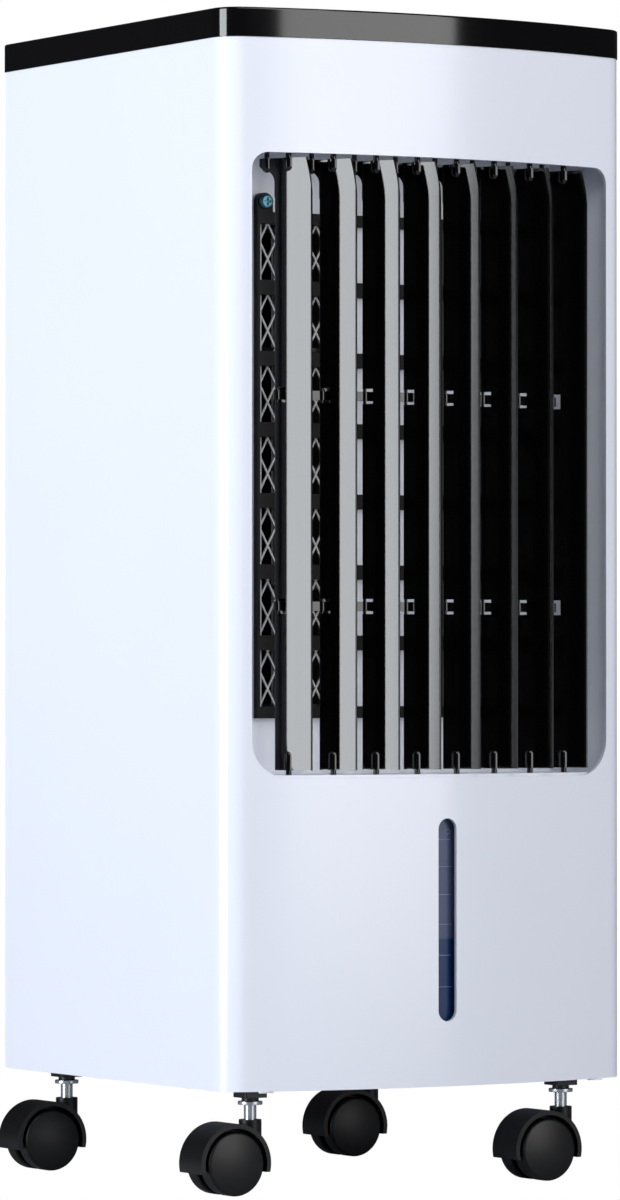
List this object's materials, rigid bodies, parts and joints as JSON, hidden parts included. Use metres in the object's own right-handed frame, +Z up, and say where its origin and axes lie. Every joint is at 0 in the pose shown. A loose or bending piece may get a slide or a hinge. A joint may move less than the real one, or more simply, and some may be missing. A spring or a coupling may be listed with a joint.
{
  "type": "portable evaporative air cooler",
  "caption": "Slim upright air cooler with a bowed white case, black lid, swinging upright louvres, a drawer water tank and twin-wheel casters.",
  "frame": {"origin": "on the floor under the middle of the body footprint", "axes": "+Z up; front with the louvres faces -Y; +X is to the right when looking at the front"},
  "size_m": [0.2509, 0.2564, 0.6],
  "materials": {
    "housing_white": "glossy moulded ABS, cool white",
    "scroll_white": "satin moulded polypropylene",
    "lid_black": "piano-black gloss lid",
    "window_smoke": "smoked acrylic display window",
    "key_grey": "soft-touch satin keys",
    "board_green": "solder-masked glass-epoxy board",
    "black_plastic": "satin black moulding",
    "zinc_steel": "bright zinc plate",
    "steel": "ground steel",
    "motor_steel": "galvanised motor shell",
    "mesh_grey": "grey moulded lattice",
    "vane_black": "gloss black moulding",
    "drum_black": "satin black drum",
    "tank_clear": "translucent blue-tinted water tank",
    "latch_white": "gloss white latch",
    "pack_blue": "blue gel ice pack",
    "pipe_clear": "milky riser pipe",
    "filter_mesh": "fine woven dust mesh",
    "pad_paper": "corrugated cellulose evaporative pad",
    "caster_black": "satin nylon with a fine texture"
  },
  "bodies": {
    "cabinet": {"main_housing": "housing_white", "top_panel": "lid_black", "display_window": "window_smoke", "control_board": "board_green", "base_plate": "scroll_white", "caster_sockets": "black_plastic", "outlet_frame": "housing_white", "fan_guard": "black_plastic", "guard_mesh": "mesh_grey", "guard_screws": "zinc_steel", "blower_housing": "scroll_white", "fan_motor": "motor_steel", "drum_bearing": "black_plastic", "mid_deck": "scroll_white", "swing_motor": "black_plastic", "rear_frame": "housing_white", "housing_screws": "zinc_steel", "cord_gland": "black_plastic", "riser_pipe": "pipe_clear", "water_tray": "scroll_white", "caster_stems": "zinc_steel"},
    "drum": {"fan_drum": "drum_black", "drum_shaft": "steel"},
    "tank_drawer": {"tank": "tank_clear", "ice_packs": "pack_blue", "pump": "black_plastic"},
    "latch": {"tank_latch": "latch_white"},
    "filter_cassette": {"filter_cover": "housing_white", "filter_mesh": "filter_mesh", "cooling_pad": "pad_paper"},
    "crank_link": {"crank_link_bar": "vane_black"},
    "tie_links": {"tie_bars": "vane_black"},
    "louvre_1": {"vane_1": "vane_black"},
    "louvre_2": {"vane_2": "vane_black"},
    "louvre_3": {"vane_3": "vane_black"},
    "louvre_4": {"vane_4": "vane_black"},
    "louvre_5": {"vane_5": "vane_black"},
    "louvre_6": {"vane_6": "vane_black"},
    "louvre_7": {"vane_7": "vane_black"},
    "louvre_8": {"vane_8": "vane_black"},
    "power_key": {"power_button": "key_grey"},
    "speed_key": {"speed_button": "key_grey"},
    "swing_key": {"swing_button": "key_grey"},
    "timer_key": {"timer_button": "key_grey"},
    "front_left_fork": {"front_left_caster_hood": "caster_black", "front_left_caster_axle": "steel"},
    "front_left_wheel_front": {"front_left_caster_wheel_front": "caster_black"},
    "front_left_wheel_rear": {"front_left_caster_wheel_rear": "caster_black"},
    "front_right_fork": {"front_right_caster_hood": "caster_black", "front_right_caster_axle": "steel"},
    "front_right_wheel_front": {"front_right_caster_wheel_front": "caster_black"},
    "front_right_wheel_rear": {"front_right_caster_wheel_rear": "caster_black"},
    "rear_left_fork": {"rear_left_caster_hood": "caster_black", "rear_left_caster_axle": "steel"},
    "rear_left_wheel_front": {"rear_left_caster_wheel_front": "caster_black"},
    "rear_left_wheel_rear": {"rear_left_caster_wheel_rear": "caster_black"},
    "rear_right_fork": {"rear_right_caster_hood": "caster_black", "rear_right_caster_axle": "steel"},
    "rear_right_wheel_front": {"rear_right_caster_wheel_front": "caster_black"},
    "rear_right_wheel_rear": {"rear_right_caster_wheel_rear": "caster_black"}
  },
  "joints": [
    {"name": "louvre_1_swing", "type": "hinge", "parent": "cabinet", "child": "louvre_1", "pos_m": [-0.0833, -0.10611, 0.37], "axis": [0, 0, 1], "range_deg": [-76, 8]},
    {"name": "louvre_2_swing", "type": "hinge", "parent": "cabinet", "child": "louvre_2", "pos_m": [-0.0595, -0.11049, 0.37], "axis": [0, 0, 1], "range_deg": [-76, 8]},
    {"name": "louvre_3_swing", "type": "hinge", "parent": "cabinet", "child": "louvre_3", "pos_m": [-0.0357, -0.11338, 0.37], "axis": [0, 0, 1], "range_deg": [-76, 8]},
    {"name": "louvre_4_swing", "type": "hinge", "parent": "cabinet", "child": "louvre_4", "pos_m": [-0.0119, -0.11482, 0.37], "axis": [0, 0, 1], "range_deg": [-76, 8]},
    {"name": "louvre_5_swing", "type": "hinge", "parent": "cabinet", "child": "louvre_5", "pos_m": [0.0119, -0.11482, 0.37], "axis": [0, 0, 1], "range_deg": [-76, 8]},
    {"name": "louvre_6_swing", "type": "hinge", "parent": "cabinet", "child": "louvre_6", "pos_m": [0.0357, -0.11338, 0.37], "axis": [0, 0, 1], "range_deg": [-76, 8]},
    {"name": "louvre_7_swing", "type": "hinge", "parent": "cabinet", "child": "louvre_7", "pos_m": [0.0595, -0.11049, 0.37], "axis": [0, 0, 1], "range_deg": [-76, 8]},
    {"name": "louvre_8_swing", "type": "hinge", "parent": "cabinet", "child": "louvre_8", "pos_m": [0.0833, -0.10611, 0.37], "axis": [0, 0, 1], "range_deg": [-76, 8]},
    {"name": "crank_link_turn", "type": "hinge", "parent": "louvre_5", "child": "crank_link", "pos_m": [0.00508, -0.10471, 0.5333], "axis": [0, 0, 1], "range_deg": [-8, 76]},
    {"name": "tie_links_turn", "type": "hinge", "parent": "louvre_5", "child": "tie_links", "pos_m": [0.00832, -0.10952, 0.3515], "axis": [0, 0, 1], "range_deg": [-8, 76]},
    {"name": "drum_spin", "type": "hinge", "parent": "cabinet", "child": "drum", "pos_m": [-0.038, -0.014, 0.37], "axis": [0, 0, 1], "continuous": true},
    {"name": "power_press", "type": "slide", "parent": "cabinet", "child": "power_key", "axis": [0, 0, -1], "range_m": [0, 0.001], "stiffness_N_per_m": 300},
    {"name": "speed_press", "type": "slide", "parent": "cabinet", "child": "speed_key", "axis": [0, 0, -1], "range_m": [0, 0.001], "stiffness_N_per_m": 300},
    {"name": "swing_press", "type": "slide", "parent": "cabinet", "child": "swing_key", "axis": [0, 0, -1], "range_m": [0, 0.001], "stiffness_N_per_m": 300},
    {"name": "timer_press", "type": "slide", "parent": "cabinet", "child": "timer_key", "axis": [0, 0, -1], "range_m": [0, 0.001], "stiffness_N_per_m": 300},
    {"name": "tank_pull", "type": "slide", "parent": "cabinet", "child": "tank_drawer", "axis": [0, 1, 0], "range_m": [0, 0.2]},
    {"name": "latch_turn", "type": "hinge", "parent": "cabinet", "child": "latch", "pos_m": [0, 0.125, 0.2025], "axis": [0, 1, 0], "range_deg": [0, 90]},
    {"name": "filter_pull", "type": "slide", "parent": "cabinet", "child": "filter_cassette", "axis": [0, 1, 0], "range_m": [0, 0.08]},
    {"name": "front_left_swivel", "type": "hinge", "parent": "cabinet", "child": "front_left_fork", "pos_m": [-0.0943, -0.0865, 0.04], "axis": [0, 0, 1], "continuous": true},
    {"name": "front_left_roll_front", "type": "hinge", "parent": "front_left_fork", "child": "front_left_wheel_front", "pos_m": [-0.109, -0.0865, 0.0162], "axis": [0, 1, 0], "continuous": true},
    {"name": "front_left_roll_rear", "type": "hinge", "parent": "front_left_fork", "child": "front_left_wheel_rear", "pos_m": [-0.109, -0.0865, 0.0162], "axis": [0, 1, 0], "continuous": true},
    {"name": "front_right_swivel", "type": "hinge", "parent": "cabinet", "child": "front_right_fork", "pos_m": [0.0943, -0.0865, 0.04], "axis": [0, 0, 1], "continuous": true},
    {"name": "front_right_roll_front", "type": "hinge", "parent": "front_right_fork", "child": "front_right_wheel_front", "pos_m": [0.0796, -0.0865, 0.0162], "axis": [0, 1, 0], "continuous": true},
    {"name": "front_right_roll_rear", "type": "hinge", "parent": "front_right_fork", "child": "front_right_wheel_rear", "pos_m": [0.0796, -0.0865, 0.0162], "axis": [0, 1, 0], "continuous": true},
    {"name": "rear_left_swivel", "type": "hinge", "parent": "cabinet", "child": "rear_left_fork", "pos_m": [-0.0943, 0.1055, 0.04], "axis": [0, 0, 1], "continuous": true},
    {"name": "rear_left_roll_front", "type": "hinge", "parent": "rear_left_fork", "child": "rear_left_wheel_front", "pos_m": [-0.109, 0.1055, 0.0162], "axis": [0, 1, 0], "continuous": true},
    {"name": "rear_left_roll_rear", "type": "hinge", "parent": "rear_left_fork", "child": "rear_left_wheel_rear", "pos_m": [-0.109, 0.1055, 0.0162], "axis": [0, 1, 0], "continuous": true},
    {"name": "rear_right_swivel", "type": "hinge", "parent": "cabinet", "child": "rear_right_fork", "pos_m": [0.0943, 0.1055, 0.04], "axis": [0, 0, 1], "continuous": true},
    {"name": "rear_right_roll_front", "type": "hinge", "parent": "rear_right_fork", "child": "rear_right_wheel_front", "pos_m": [0.0796, 0.1055, 0.0162], "axis": [0, 1, 0], "continuous": true},
    {"name": "rear_right_roll_rear", "type": "hinge", "parent": "rear_right_fork", "child": "rear_right_wheel_rear", "pos_m": [0.0796, 0.1055, 0.0162], "axis": [0, 1, 0], "continuous": true}
  ],
  "couplings": [
    {"joint": "louvre_1_swing", "follows": "louvre_5_swing", "ratio": 1},
    {"joint": "louvre_2_swing", "follows": "louvre_5_swing", "ratio": 1},
    {"joint": "louvre_3_swing", "follows": "louvre_5_swing", "ratio": 1},
    {"joint": "louvre_4_swing", "follows": "louvre_5_swing", "ratio": 1},
    {"joint": "louvre_6_swing", "follows": "louvre_5_swing", "ratio": 1},
    {"joint": "louvre_7_swing", "follows": "louvre_5_swing", "ratio": 1},
    {"joint": "louvre_8_swing", "follows": "louvre_5_swing", "ratio": 1},
    {"joint": "crank_link_turn", "follows": "louvre_5_swing", "ratio": -1},
    {"joint": "tie_links_turn", "follows": "louvre_5_swing", "ratio": -1}
  ]
}
